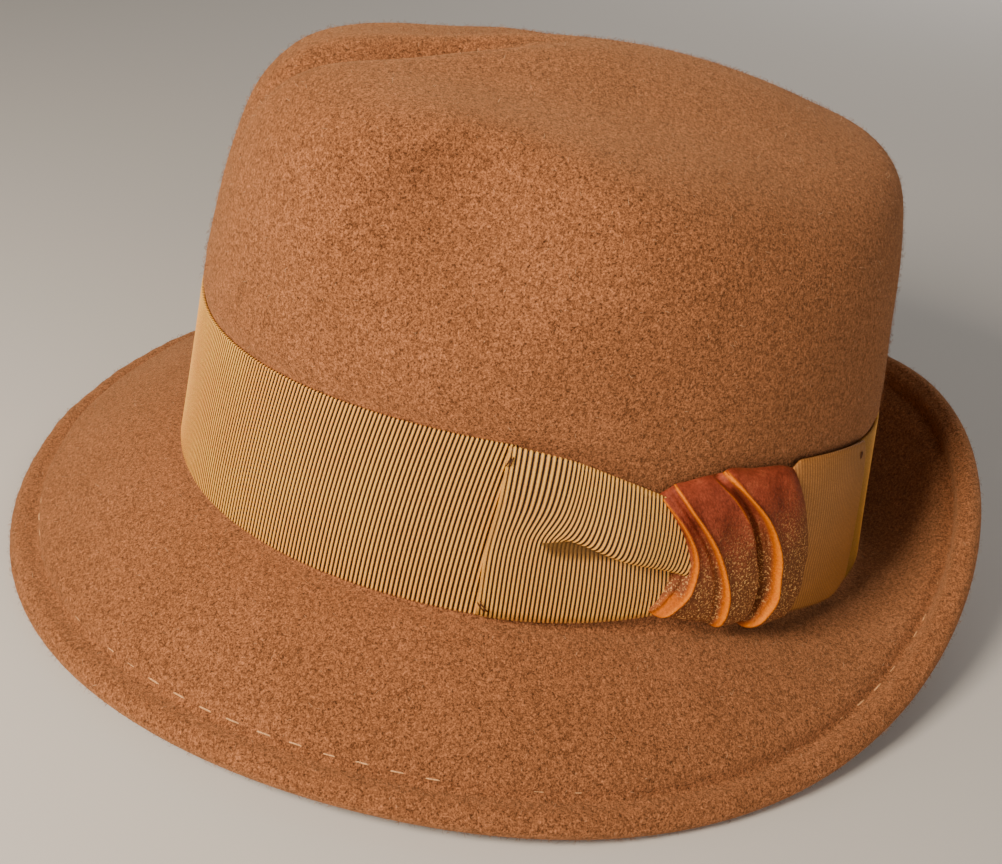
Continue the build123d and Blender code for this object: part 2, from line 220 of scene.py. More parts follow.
def along(place):
    """Turn for a place along the band."""
    return np.radians(place / ARC_PER_DEGREE)


def ridge_height(y):
    away = y - OVAL_CENTRE_Y
    return BREAK_HEIGHT + sum(term * away ** power for power, term in enumerate(RIDGE_HEIGHT))


def crown_controls(turn):
    """Control points of the crown's meridians, from the ribbon's top to the ridge line."""
    top = break_height(turn) + RIBBON_WIDTH
    shoulder = BREAK_HEIGHT + waves(turn, SHOULDER_HEIGHT)
    climb = 0.22 * (shoulder - top)
    lean = RIBBON_TAPER * (1 + climb / RIBBON_WIDTH)
    ridge_y = OVAL_CENTRE_Y + RIDGE_MIDDLE_Y + RIDGE_HALF_LENGTH * np.sin(turn)
    sag = SHOULDER_SAG * np.cos(turn) ** 2
    corner = oval(turn, -waves(turn, SHOULDER_INSET))
    slope_y = 0.45 * corner[1] + 0.55 * ridge_y
    inner_y = 0.3 * slope_y + 0.7 * ridge_y
    return np.stack([
        points(*oval(turn, -RIBBON_TAPER), top),
        points(*oval(turn, -lean), top + climb),
        points(*oval(turn, -waves(turn, WALL_INSET)), top + 0.62 * (shoulder - top)),
        points(*corner, shoulder),
        points(0.5 * corner[0], slope_y, ridge_height(slope_y) - sag),
        points(0.19 * corner[0], inner_y, ridge_height(inner_y) - 0.1 * sag),
        points(0 * turn, ridge_y, ridge_height(ridge_y)),
    ])


def pressed(p):
    """Push in the dent along the top and the two pinches at the front."""
    y = p[..., 1] - OVAL_CENTRE_Y
    up = p[..., 2] - BREAK_HEIGHT
    run = y - DENT_Y
    fade = hump(run, np.where(run < 0, DENT_LENGTH_FRONT, DENT_LENGTH_BACK))
    width = DENT_HALF_WIDTH * (0.35 + 0.65 * fade)
    near_top = step_up(up - 85, 6)
    dent = DENT_DEPTH * fade * hump(p[..., 0], width) * near_top
    off_y = (y - PINCH_Y) / PINCH_LENGTH
    off_z = (up - PINCH_HEIGHT - PINCH_RISE * (y - PINCH_Y)) / PINCH_TALLNESS
    pinch = PINCH_DEPTH * np.exp(-off_y ** 2 - off_z ** 2) * np.tanh(p[..., 0] / 14)
    return points(p[..., 0] - pinch, p[..., 1], p[..., 2] - dent)


def brim_point(turn, share):
    """Point of the brim's upper face, share 0 at the crown and 1 at the edge."""
    reach = waves(turn, BRIM_WIDTH)
    edge_height = waves(turn, BRIM_EDGE_HEIGHT)
    foot = break_height(turn) - BREAK_DROP
    fall = foot - edge_height
    slope = np.arctan2(-fall * (1 + 4 * BRIM_BULGE), reach)
    end_out = reach - WELT / 2 * (1 + np.sin(slope))
    end_height = edge_height + WELT / 2 * np.cos(slope)
    bow = 4 * BRIM_BULGE * fall * share * (1 - share)
    x, y = oval(turn, BREAK_RADIUS + (end_out - BREAK_RADIUS) * share)
    return points(x, y, foot + (end_height - foot) * share + bow)


def welt_share(turn, inwards):
    """Share of the brim's width at a distance in from its edge."""
    return 1 - (inwards - WELT / 2) / (waves(turn, BRIM_WIDTH) - BREAK_RADIUS)


# ------------------------------ mesh helpers
def normals_of(grid, round_it):
    """Unit normals of a grid of points; the columns close up when it runs round the hat."""
    down = np.gradient(grid, axis=0)
    if round_it:
        across = np.roll(grid, -1, 1) - np.roll(grid, 1, 1)
    else:
        across = np.gradient(grid, axis=1)
    normal = np.cross(down, across)
    size = np.linalg.norm(normal, axis=-1, keepdims=True)
    return normal / np.maximum(size, 1e-9)


def keep_value(mesh, label, values):
    """Keep one number per point on a mesh, for its material."""
    layer = mesh.attributes.new(label, "FLOAT", "POINT")
    layer.data.foreach_set("value", values.astype(np.float32))


def place_piece(name, mesh):
    piece = bpy.data.objects.new(name, mesh)
    bpy.context.scene.collection.objects.link(piece)
    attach(piece, "root")
    return piece


def mesh_piece(name, parts, values=None):
    """One smooth mesh from grids of points.

    parts is a list of (grid, rows close up, columns close up). values holds, for each label,
    one array per grid with a number for each of its points.
    """
    verts = []
    faces = []
    start = 0
    for grid, rows_close, cols_close in parts:
        rows, cols = grid.shape[:2]
        verts.append(grid.reshape(-1, 3))
        i = np.arange(rows if rows_close else rows - 1)[:, None]
        j = np.arange(cols if cols_close else cols - 1)[None, :]
        below = (i + 1) % rows
        beside = (j + 1) % cols
        corners = (i * cols + j, below * cols + j, below * cols + beside, i * cols + beside)
        quads = np.stack([np.broadcast_to(corner, (i.size, j.size)) for corner in corners], -1)
        faces.append(quads.reshape(-1, 4) + start)
        start += rows * cols
    mesh = bpy.data.meshes.new(name)
    mesh.from_pydata((np.concatenate(verts) * MM).tolist(), [], np.concatenate(faces).tolist())
    for label, arrays in (values or {}).items():
        keep_value(mesh, label, np.concatenate([array.ravel() for array in arrays]))
    mesh.polygons.foreach_set("use_smooth", [True] * len(mesh.polygons))
    return place_piece(name, mesh)


def weld(piece, distance=0.02 * MM):
    """Join points that lie together and make the faces look outwards."""
    work = bmesh.new()
    work.from_mesh(piece.data)
    bmesh.ops.remove_doubles(work, verts=work.verts, dist=distance)
    bmesh.ops.dissolve_degenerate(work, edges=work.edges, dist=distance * 0.1)
    bmesh.ops.recalc_face_normals(work, faces=work.faces)
    work.to_mesh(piece.data)
    work.free()


def cap_ends(piece, rows, cols):
    """Close the two ends of a strip whose cross-section runs down the grid's rows."""
    work = bmesh.new()
    work.from_mesh(piece.data)
    work.verts.ensure_lookup_table()
    for column in (0, cols - 1):
        work.faces.new([work.verts[row * cols + column] for row in range(rows)])
    bmesh.ops.recalc_face_normals(work, faces=work.faces)
    work.to_mesh(piece.data)
    work.free()


# ------------------------------ materials
class Look:
    """A material, put together node by node around its Principled shader."""

    def __init__(self, name):
        self.material = bpy.data.materials.new(name)
        self.material.use_nodes = True
        self.nodes = self.material.node_tree.nodes
        self.link = self.material.node_tree.links.new
        self.shader = self.nodes["Principled BSDF"]
        self.place = None
        self.normal = None

    def add(self, kind, **inputs):
        """New node, its inputs set to numbers or linked to other nodes' outputs."""
        node = self.nodes.new("ShaderNode" + kind)
        for label, value in inputs.items():
            socket = node.inputs[label.replace("_", " ")]
            if isinstance(value, bpy.types.NodeSocket):
                self.link(value, socket)
            else:
                socket.default_value = value
        return node

    def where(self):
        """Place on the piece, in metres."""
        if self.place is None:
            self.place = self.add("TexCoord").outputs["Object"]
        return self.place

    def noise(self, scale, detail=3.0, roughness=0.55):
        node = self.add("TexNoise", Vector=self.where(), Scale=scale, Detail=detail)
        node.inputs["Roughness"].default_value = roughness
        return node.outputs["Fac"]

    def kept(self, label):
        """Number that keep_value put on the mesh."""
        node = self.add("Attribute")
        node.attribute_name = label
        return node.outputs["Fac"]

    def ramp(self, value, *stops):
        node = self.add("ValToRGB", Fac=value)
        spots = node.color_ramp.elements
        while len(spots) < len(stops):
            spots.new(0.5)
        for spot, (position, colour) in zip(spots, stops):
            spot.position = position
            spot.color = (*colour, 1)
        return node.outputs["Color"]

    def mask(self, value, low, high):
        """Black below low, white above high."""
        return self.ramp(value, (low, (0.0, 0.0, 0.0)), (high, (1.0, 1.0, 1.0)))

    def mix(self, factor, first, second, blend="MIX"):
        """Mix of two colours, each a node's output or a constant."""
        node = self.add("Mix")
        node.data_type = "RGBA"
        node.blend_type = blend
        if isinstance(factor, float):
            node.inputs["Factor"].default_value = factor
        else:
            self.link(factor, node.inputs["Factor"])
        for label, value in (("A", first), ("B", second)):
            found = [s for s in node.inputs if s.name == label and s.type == "RGBA"][0]
            if isinstance(value, tuple):
                found.default_value = (*value, 1)
            else:
                self.link(value, found)
        return [s for s in node.outputs if s.type == "RGBA"][0]

    def bump(self, height, strength, distance):
        """Relief on the shader, over the relief that it already has."""
        node = self.add("Bump", Height=height, Strength=strength, Distance=distance)
        if self.normal:
            self.link(self.normal, node.inputs["Normal"])
        self.normal = node.outputs["Normal"]
        self.link(self.normal, self.shader.inputs["Normal"])

    def done(self, colour, **values):
        """Colour the shader and set constants: sheen_weight=0.2 sets its Sheen Weight."""
        if isinstance(colour, tuple):
            self.shader.inputs["Base Color"].default_value = (*colour, 1)
        else:
            self.link(colour, self.shader.inputs["Base Color"])
        sockets = {s.name.lower().replace(" ", "_"): s for s in self.shader.inputs}
        for label, value in values.items():
            sockets[label].default_value = value
        return self.material


def felt_material():
    """Brushed wool felt: even brown, peppered with dark gaps and pale fibre ends."""
    look = Look("wool_felt")
    specks = look.noise(2300, 3, 0.75)
    tufts = look.noise(1000, 4, 0.75)
    base = look.ramp(look.noise(35), (0.3, (0.262, 0.102, 0.041)), (0.7, (0.305, 0.120, 0.050)))
    coarse = look.ramp(
        tufts, (0.36, (0.24, 0.22, 0.20)), (0.5, (0.5, 0.5, 0.5)), (0.66, (0.74, 0.73, 0.72)))
    fine = look.ramp(
        specks, (0.34, (0.13, 0.11, 0.10)), (0.5, (0.5, 0.5, 0.5)), (0.68, (0.88, 0.87, 0.85)))
    colour = look.mix(1.0, base, coarse, "OVERLAY")
    colour = look.mix(1.0, colour, fine, "OVERLAY")
    look.bump(tufts, 0.7, 0.0007)
    look.bump(specks, 0.6, 0.0004)
    return look.done(
        colour, roughness=0.95, specular_ior_level=0.08,
        sheen_weight=0.35, sheen_roughness=0.5, sheen_tint=(1.0, 0.55, 0.28, 1))


def nap_material():
    """Single wool fibres, from dark brown to pale."""
    look = Look("wool_nap")
    colour = look.ramp(
        look.kept("tint"), (0.0, (0.13, 0.048, 0.018)), (0.55, (0.30, 0.125, 0.052)),
        (0.9, (0.44, 0.21, 0.10)), (1.0, (0.66, 0.40, 0.22)))
    return look.done(colour, roughness=0.7, specular_ior_level=0.25)


def grosgrain_material(name, groove, crest):
    """Ribbed gold ribbon, near black in the grooves as painted shade and pale on the crests as a
    painted highlight, with a fine cross weave.
    """
    look = Look(name)
    weave = look.noise(2600, 2, 0.6)
    middle = tuple(0.55 * a + 0.45 * b for a, b in zip(groove, crest))
    # the ramp from groove to crest paints shade into the grooves and a highlight onto the crests
    colour = look.ramp(look.kept("rib"), (0.54, groove), (0.80, middle), (0.96, crest))
    soft = look.ramp(look.noise(45), (0.3, (0.44, 0.44, 0.44)), (0.7, (0.56, 0.55, 0.54)))
    grain = look.ramp(weave, (0.3, (0.36, 0.35, 0.34)), (0.7, (0.64, 0.63, 0.62)))
    colour = look.mix(1.0, colour, soft, "OVERLAY")
    colour = look.mix(0.8, colour, grain, "OVERLAY")
    look.bump(weave, 0.4, 0.00015)
    return look.done(colour, roughness=0.5, specular_ior_level=0.25)


def velvet_material():
    """Rust velvet: dark crushed pile, gold flecks lower down and a painted highlight along the
    fold edges.
    """
    look = Look("velvet")
    # the fold value is a painted highlight on the fold edges
    edge = look.kept("fold")
    flecked = look.kept("glitter")
    pile = look.noise(1500, 3, 0.7)
    base = look.ramp(
        look.noise(170, 4, 0.6), (0.3, (0.17, 0.030, 0.014)), (0.55, (0.29, 0.057, 0.027)),
        (0.75, (0.42, 0.10, 0.045)))
    colour = look.mix(flecked, base, (0.19, 0.066, 0.024))
    shine = look.add("Math")
    shine.operation = "MULTIPLY"
    look.link(look.mask(look.noise(1900, 2, 0.6), 0.54, 0.66), shine.inputs[0])
    look.link(flecked, shine.inputs[1])
    colour = look.mix(shine.outputs[0], colour, (0.85, 0.45, 0.15))
    # painted highlight colour over the fold edges
    highlight_colour = look.ramp(edge, (0.6, (0.46, 0.105, 0.002)), (0.97, (0.78, 0.215, 0.004)))
    colour = look.mix(look.mask(edge, 0.2, 0.6), colour, highlight_colour)
    grain = look.ramp(pile, (0.3, (0.30, 0.29, 0.28)), (0.7, (0.68, 0.67, 0.66)))
    colour = look.mix(0.8, colour, grain, "OVERLAY")
    look.bump(pile, 0.6, 0.0003)
    return look.done(
        colour, roughness=0.55, specular_ior_level=0.12,
        sheen_weight=0.08, sheen_roughness=0.3, sheen_tint=(1.0, 0.36, 0.12, 1))


def thread_material(name, colour):
    """Twisted sewing thread."""
    look = Look(name)
    twist = look.noise(2400, 2)
    tone = look.ramp(twist, (0.35, tuple(0.6 * c for c in colour)), (0.65, colour))
    look.bump(twist, 0.6, 0.0002)
    return look.done(
        tone, roughness=0.6, specular_ior_level=0.2, sheen_weight=0.15, sheen_tint=(*colour, 1))


def leather_material():
    """Smooth sweatband leather with fine grain and faint scuffs."""
    look = Look("sweat_leather")
    cells = look.add("TexVoronoi", Vector=look.where(), Scale=1300)
    wear = look.noise(70, 5)
    colour = look.ramp(wear, (0.3, (0.055, 0.028, 0.015)), (0.7, (0.10, 0.052, 0.028)))
    shine = look.add("MapRange", Value=wear, To_Min=0.38, To_Max=0.6)
    look.link(shine.outputs["Result"], look.shader.inputs["Roughness"])
    look.bump(cells.outputs["Distance"], 0.35, 0.0002)
    return look.done(colour)


def satin_material():
    """Lining satin: fine weave and a soft sheen."""
    look = Look("satin")
    colour = look.ramp(look.noise(30), (0.3, (0.20, 0.105, 0.048)), (0.7, (0.27, 0.15, 0.070)))
    look.bump(look.noise(3000, 2), 0.2, 0.0001)
    return look.done(colour, roughness=0.32, specular_ior_level=0.5, sheen_weight=0.2)


def tape_material(name, colour):
    """Plain woven tape, lighter on its threads than between them."""
    look = Look(name)
    weave = look.noise(1800)
    tone = look.ramp(weave, (0.35, tuple(0.55 * c for c in colour)), (0.65, colour))
    look.bump(weave, 0.5, 0.0002)
    return look.done(tone, roughness=0.85, sheen_weight=0.2)


def reed_material():
    """Natural plastic reed with faint cloudy streaks."""
    look = Look("reed")
    colour = look.ramp(look.noise(400), (0.3, (0.42, 0.36, 0.26)), (0.7, (0.56, 0.50, 0.38)))
    return look.done(colour, roughness=0.45)


SATIN = satin_material()
# groove and crest colours far apart: painted shade in the grooves and a painted highlight on the
# crests
GROSGRAIN = grosgrain_material("grosgrain", (0.014, 0.003, 0.001), (1.0, 0.50, 0.10))
# a darker, duller copy of the grosgrain, for painted shade on the rear loop
GROSGRAIN_SHADED = grosgrain_material("grosgrain_soft", (0.27, 0.112, 0.027), (0.41, 0.182, 0.048))
NAP = nap_material()
TAPE = tape_material("tape", (0.045, 0.028, 0.020))


# ------------------------------ felt
def crown_and_brim(turn):
    """Outer face of the felt, from the ridge line down and out along the brim to its edge.

    Also gives how many of its rows lie on the brim.
    """
    steps = np.linspace(1, 0, CROWN_ROWS + 1)[:-1]
    controls = crown_controls(turn)
    crown = pressed(np.einsum("vn,nkc->vkc", spline_basis(len(controls), steps), controls))
    out = -RIBBON_THICKNESS - CLEARANCE
    wall = [on_band(turn, up, out) for up in np.linspace(RIBBON_WIDTH, 2.5, WALL_ROWS)]
    foot = break_height(turn) - BREAK_DROP
    for angle in np.radians((15, 30, 45, 60, 75)):
        x, y = oval(turn, out + BREAK_RADIUS * (1 - cos(angle)))
        wall.append(points(x, y, foot + BREAK_RADIUS * (1 - sin(angle))))
    plain = np.linspace(0, 0.60, BRIM_ROWS)
    near_edge = np.linspace(0.60, 1, WELT_ROWS + 1)[1:]
    shares = np.concatenate([plain, near_edge])
    brim = [brim_point(turn, share) for share in shares]
    return np.concatenate([crown, np.stack(wall), np.stack(brim)]), len(shares)


def wobble(p, size):
    """Slow uneven waves, as in felt shaped by hand."""
    x, y, z = p[..., 0], p[..., 1], p[..., 2]
    first = np.sin(x * 0.071 + 1.3) * np.sin(y * 0.063 - 0.4) * np.sin(z * 0.081 + 0.9)
    second = np.sin(x * 0.17 - y * 0.11 + 2.1) * np.sin(z * 0.19 + y * 0.05)
    return size * (first + 0.45 * second)


def welt_relief(turn, inwards):
    """Height of the brim over its plain slope, at a distance in from its edge.

    The stitches pull the felt down into a groove, and the fold beyond it stands up as a soft
    roll.
    """
    line = inwards - WELT_WIDTH
    beat = 0.5 + 0.5 * np.cos(turn * STITCH_COUNT)
    groove = hump(line, 1.8) * (1.35 + 0.25 * beat)
    roll = 1.75 * hump(line + 4.7, 2.8) * (1 - 0.12 * beat)
    swell = 0.35 * hump(line - 5.0, 2.8)
    return roll + swell - groove


def rounded_rim(upper, lower, facing):
    """Rows of the brim's half-round edge, from its upper face to its lower one."""
    centre = (upper[-1] + lower[-1]) / 2
    up = (upper[-1] - lower[-1]) / 2
    ahead = upper[-1] - upper[-3]
    ahead -= np.sum(ahead * facing[-1], -1, keepdims=True) * facing[-1]
    ahead = WELT / 2 * unit(ahead)
    swing = np.radians(np.linspace(0, 180, 13)[1:-1])
    return np.stack([centre + up * cos(angle) + ahead * sin(angle) for angle in swing])


def felt_body():
    """Crown and brim in one closed skin. Gives the outer faces of the crown and the brim."""
    turn = np.linspace(0, 2 * pi, COLUMNS, endpoint=False)
    outer, brim_rows = crown_and_brim(turn)
    facing = normals_of(outer, True)
    # both sides of the ridge line share one upright normal
    facing[0, :, 0] = 0
    facing[0] = unit(facing[0])
    facing[0, np.abs(facing[0, :, 2]) < 0.5] = (0, 0, 1)
    brim = len(outer) - brim_rows
    inwards = np.linalg.norm(outer[brim:] - outer[-1], axis=-1) + WELT / 2
    lift = np.zeros(outer.shape[:2])
    lift[brim:] = welt_relief(turn, inwards)
    calm = np.ones(len(outer))
    calm[brim - SMOOTH_ROWS:brim + 4] = 0.12
    lift += wobble(outer, 0.35) * calm[:, None]
    shaped = outer + facing * lift[..., None]
    thick = np.full(outer.shape[:2], FELT)
    thick[brim:] += (WELT - FELT) * eased(WELT_WIDTH + 1.6 - inwards, 0, 1.4)
    inner = outer - facing * thick[..., None]
    rim = rounded_rim(shaped, inner, facing)
    # the inner face is smoother, and every second row is enough
    grid = np.concatenate([shaped, rim, inner[::-2]])
    piece = mesh_piece("felt_hat_body", [(grid, False, True)])
    weld(piece)
    piece.data.materials.append(felt_material())
    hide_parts("felt_body")
    face = np.concatenate([shaped, rim])
    return face[:CROWN_ROWS], face[brim:]


def felt_nap(name, face, count, seed):
    """Loose wool fibres that stand out of the felt, three-sided and drawn to a point."""
    random = np.random.default_rng(seed)
    cols = face.shape[1]
    facing = normals_of(face, True)[:-1]
    down = face[1:] - face[:-1]
    across = np.roll(face, -1, 1)[:-1] - face[:-1]
    area = np.linalg.norm(np.cross(down, across), axis=-1).ravel()
    row, col = np.divmod(random.choice(area.size, count, p=area / area.sum()), cols)
    root = face[row, col] + down[row, col] * random.random((count, 1))
    root = root + across[row, col] * random.random((count, 1))
    out = facing[row, col]
    side = random.normal(size=(count, 3))
    side -= out * np.sum(side * out, -1, keepdims=True)
    side = unit(side)
    cross = np.cross(out, side)
    length = random.uniform(0.6, 1.7, (count, 1))
    lift = length * random.uniform(0.15, 0.75, (count, 1))
    veer = length * random.normal(0, 0.25, (count, 1))
    root = root - 0.2 * out
    middle = root + 0.5 * length * side + (0.2 + 0.75 * lift) * out
    tip = root + length * side + (0.2 + lift) * out + veer * cross
    verts = []
    for place, radius in ((root, NAP_ROOT), (middle, NAP_MIDDLE)):
        for angle in (0.0, 2 * pi / 3, 4 * pi / 3):
            verts.append(place + radius * (cos(angle) * cross + sin(angle) * out))
    verts.append(tip)
    # points 0 to 2 are a fibre's root, 3 to 5 its middle and 6 its tip
    first = len(verts) * np.arange(count)[:, None]
    sides = [(0, 1, 4, 3), (1, 2, 5, 4), (2, 0, 3, 5)]
    ends = [(0, 2, 1), (3, 4, 6), (4, 5, 6), (5, 3, 6)]
    faces = np.concatenate([first + np.array(quad) for quad in sides]).tolist()
    faces += np.concatenate([first + np.array(end) for end in ends]).tolist()
    mesh = bpy.data.meshes.new(name)
    mesh.from_pydata((np.stack(verts, 1).reshape(-1, 3) * MM).tolist(), [], faces)
    keep_value(mesh, "tint", np.repeat(random.random(count), len(verts)))
    mesh.materials.append(NAP)
    piece = place_piece(name, mesh)
    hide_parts("felt_body")


# ------------------------------ ribbon and bow
def rib_wave(count):
    """Round ribs with narrow grooves between them: 1 on a crest, 0 in a groove."""
    phase = (np.arange(count) % RIB_STEPS) / RIB_STEPS
    return np.sin(pi * phase) ** 0.7


def lean_of(up):
    """How far the band's ribs lean backwards at a height up it."""
    share = up / RIBBON_WIDTH
    return 3.0 * share + 4.0 * share ** 2


def fold_lean(level):
    """How far the bow's front fold leans back at a share of the ribbon's width."""
    return 2.5 * level ** 1.4


def ribbon_heights(count):
    """Heights up the ribbon, close together at its two looped edges."""
    edge = [0, 0.4, LOOP_EDGE]
    middle = np.linspace(2 * LOOP_EDGE, RIBBON_WIDTH - 2 * LOOP_EDGE, count)
    return np.concatenate([edge, middle, [RIBBON_WIDTH - h for h in edge[::-1]]])


def looped_edges(up, wave):
    """Each rib's thread turns back at the ribbon's edge, which leaves a row of small loops."""
    low = np.clip(1 - up / LOOP_EDGE, 0, 1)
    high = np.clip(1 - (RIBBON_WIDTH - up) / LOOP_EDGE, 0, 1)
    return 0.45 * (wave - 0.6) * (high - low)


def hat_band():
    """Grosgrain ribbon with raised leaning ribs; its ends finish under the bow."""
    stop = 360 * ARC_PER_DEGREE + FRONT_FOLD
    ribs = int((stop - BAND_START) * GIRTH_SHARE / RIB_PITCH)
    count = ribs * RIB_STEPS + 1
    up = ribbon_heights(15)[:, None]
    wave = rib_wave(count)[None, :]
    # the ribs start before the band does, so that their lean leaves no gap at its upper corner
    spare = lean_of(RIBBON_WIDTH)
    share = np.arange(count)[None, :] / (count - 1)
    place = BAND_START - spare + (stop - BAND_START + spare) * share
    end = stop + BAND_TUCK + fold_lean(up / RIBBON_WIDTH)
    place = np.clip(place + lean_of(up), BAND_START, end)
    turn = along(place)
    rise = up + looped_edges(up, wave)
    sway = 0.12 * np.sin(turn * 9 + 1.0) * np.sin(pi * up / RIBBON_WIDTH)
    front = on_band(turn, rise, RIB_HEIGHT * (wave - 1) + sway + 0.12)
    # the hidden face needs few rows
    back = on_band(turn, rise, -RIBBON_THICKNESS + 0.02)[::-5]
    grid = np.concatenate([front, back])
    # beside the rear loop the ribs' colour evens out to a dull tone: painted shade, while their
    # shape stays ribbed
    rear_painted_shade = 0.75 * (1 - eased(place, REAR_FOLD + 8, REAR_FOLD + 34))
    tone = wave * (1 - rear_painted_shade) + 0.67 * rear_painted_shade
    values = {"rib": [np.concatenate([tone, tone[::-5]])]}
    piece = mesh_piece("grosgrain_band", [(grid, True, False)], values)
    cap_ends(piece, *grid.shape[:2])
    piece.data.materials.append(GROSGRAIN)
    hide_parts("hat_band")


def end_fold(reach):
    """Columns of a bow loop, from its tail's end, round the end fold and along its face.

    Gives each column's run from the fold, its distance in from the fold's end, and how far it
    is in front: 0 on the tail and 1 on the face.
    """
    run = np.arange(-(WING_TAIL + pi * FOLD_RADIUS), reach, WING_STEP)[None, :]
    turned = np.clip(-run / FOLD_RADIUS, 0, pi)
    tail = -pi * FOLD_RADIUS - run
    bent = np.where(run > -pi * FOLD_RADIUS, -FOLD_RADIUS * np.sin(turned), tail)
    inwards = np.where(run > 0, run, bent) + FOLD_RADIUS
    return run, inwards, (1 + np.cos(turned)) / 2


def folded_ribbon(name, sections, ribs, rib_height, shade=0.0):
    """Ribbon along a folded path. sections holds its middle surface as (place, up, out).

    shade is the share of painted shade, by which the ribs' colour evens out to a dull one.
    """
    middle = on_band(along(sections[..., 0]), sections[..., 1], sections[..., 2])
    facing = normals_of(middle, False)
    half = WING_THICKNESS / 2 + rib_height * (ribs - 0.5)
    front = middle + facing * half[..., None]
    back = middle - facing * half[..., None]
    grid = np.concatenate([front, back[::-1]])
    tone = ribs * (1 - shade) + 0.62 * shade
    values = {"rib": [np.concatenate([tone, tone[::-1]])]}
    piece = mesh_piece(name, [(grid, True, False)], values)
    cap_ends(piece, *grid.shape[:2])
    return piece


def front_pleat(place, width, low, fold, high):
    """Height and distance out of the front loop's face, pleated open towards the knot.

    The face runs up from low to the pleat's fold, tucks in behind it and runs on to high.
    """
    gape = eased(place, -27, -4)
    shut = 1 - gape
    pull = gape * (1 - 0.5 * eased(place, -6, 9))
    rows = [
        (low, 1.3 + 0 * gape),
        (low + 0.5 * (fold - low), 2.4 + 0.2 * pull),
        (fold - 5.5 * shut + 0.5 * gape, 2.5 - 2.3 * gape),
        (fold - 2.5 * shut + 7.5 * gape, 2.6 - 2.3 * gape),
        (fold + 0.5 * shut + 7.5 * gape, 2.6 - 0.4 * pull),
        (fold + 3.0 * shut + 1.2 * gape, 2.6 + 1.6 * pull),
        (fold + 6.0 * shut + 1.8 * gape, 2.6 + 3.9 * pull),
        (fold + 0.45 * (high - fold), 2.6 + 3.0 * pull),
        (high - 5.0, 2.6 + 1.2 * pull),
        (high + 0 * gape, 1.9 + 0.3 * pull),
    ]
    basis = spline_basis(len(rows), width)
    up = np.einsum("vn,nc->vc", basis, np.stack([row[0][0] for row in rows]))
    out = np.einsum("vn,nc->vc", basis, np.stack([row[1][0] for row in rows]))
    return up, out


def pleat_painted_shade(place, up, fold, level):
    """Share of the ribs that is lost in painted shade under the front loop's pleat."""
    lens = 5.6 * eased(place, -27, -20) * (1 - 0.75 * eased(place, -18, 4))
    beneath = np.clip(1 - np.abs(fold + 1.5 - up) / np.maximum(lens, 0.1), 0, 1) * (level < 0.42)
    return eased(beneath, 0.0, 0.6) * eased(lens, 0.1, 2.0)


def bow_front_wing():
    """Ribbon loop in front of the knot: folded at its end, pleated open towards the knot."""
    run, inwards, lift = end_fold(50.0)
    place = inwards + FRONT_FOLD
    width = np.linspace(0, 1, 84)
    level = width[:, None]
    share = np.clip((place - FRONT_FOLD) / 48.5, 0, 1)
    low = 1.0 + 5.6 * share ** 1.9
    high = 46.0 - 12.6 * share ** 1.6
    fold = 23.8 - 7.5 * share ** 2
    up, out = front_pleat(place, width, low, fold, high)
    out = TAIL_OUT + (out - TAIL_OUT) * lift
    up = up - 1.2 * (1 - lift) * level
    # the ribs lean back above the pleat, and the end fold leans with them towards its top
    lean = 4.2 * eased(level, 0.38, 1.05) * eased(place, -36, -22)
    bowed = fold_lean(level) * (1 - eased(place, -34, -12))
    sections = points(place + lean + bowed, up, out)
    # the end fold is pressed smooth, and its colour is raised near to the crests': a painted
    # highlight along the fold
    smooth = hump(run + 0.9, 0.6, 4)
    wave = rib_wave(run.shape[1])[None, :] * (1 - smooth) + 0.86 * smooth
    ribs = np.broadcast_to(wave, up.shape)
    edge = np.minimum(level, 1 - level)
    loops = 0.40 * (ribs - 0.6) * np.clip(1 - edge / 0.015, 0, 1)
    sections[..., 1] += loops * np.where(level > 0.5, 1, -1)
    # painted shade in the hollow under the pleat
    shade = pleat_painted_shade(place, up, fold, level)
    piece = folded_ribbon("bow_loop_front", sections, ribs, 0.34, shade)
    piece.data.materials.append(GROSGRAIN)
    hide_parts("bow_front_wing")


def bow_rear_wing():
    """Ribbon loop behind the knot, flatter, with low ribs and a rounded lower corner; its darker,
    duller colour is painted shade.
    """
    run, inwards, lift = end_fold(44.0)
    place = REAR_FOLD - inwards
    level = np.linspace(0, 1, 48)[:, None]
    share = np.clip((REAR_FOLD - place) / 36, 0, 1.2)
    low = 0.6 + 2.2 * share ** 2 + 3.2 * hump(REAR_FOLD - place, 5.0)
    high = 46.0 + 0.3 * np.sin(pi * share) - 3.0 * eased(share, 0.97, 1.12)
    up = low + (high - low) * level
    puff = 1.2 * np.sin(pi * level) * eased(share, 0.0, 0.7)
    dip = 0.8 * hump(level - 0.32, 0.13) * eased(share, 0.35, 1.0)
    out = 1.9 + 0.7 * np.sin(pi * level) ** 0.5 + puff - dip - 0.95 * level ** 10
    out = TAIL_OUT + (out - TAIL_OUT) * lift
    up = up - 1.2 * (1 - lift) * level
    ribs = np.broadcast_to(rib_wave(run.shape[1])[None, :], up.shape)
    sections = points(place + 2.0 * level * level, up, out)
    piece = folded_ribbon("bow_loop_rear", sections, ribs, 0.06)
    # painted shade: the darker copy of the grosgrain
    piece.data.materials.append(GROSGRAIN_SHADED)
    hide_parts("bow_rear_wing")


def knot_lines(up):
    """Places of the knot's two sides, its three pleat edges and the deep crease, at a height."""
    above = np.maximum(up - 15, 0)
    below = np.maximum(15 - up, 0)
    left = 9.8 - 0.0062 * np.maximum(up - 21, 0) ** 2.5 - 0.028 * np.maximum(21 - up, 0) ** 2
    right = 52.6 - 0.0125 * (up - 18) ** 2
    first = 13.0 - 0.033 * (up - 20.5) ** 2
    second = 22.4 - 0.0165 * (up - 9) ** 2
    third = 36.4 - 0.0036 * above ** 2.5 - 0.034 * below ** 2
    crease = third - 1.3 - 2.2 * hump(up - 26, 13)
    return left, right, (first, second, third), crease


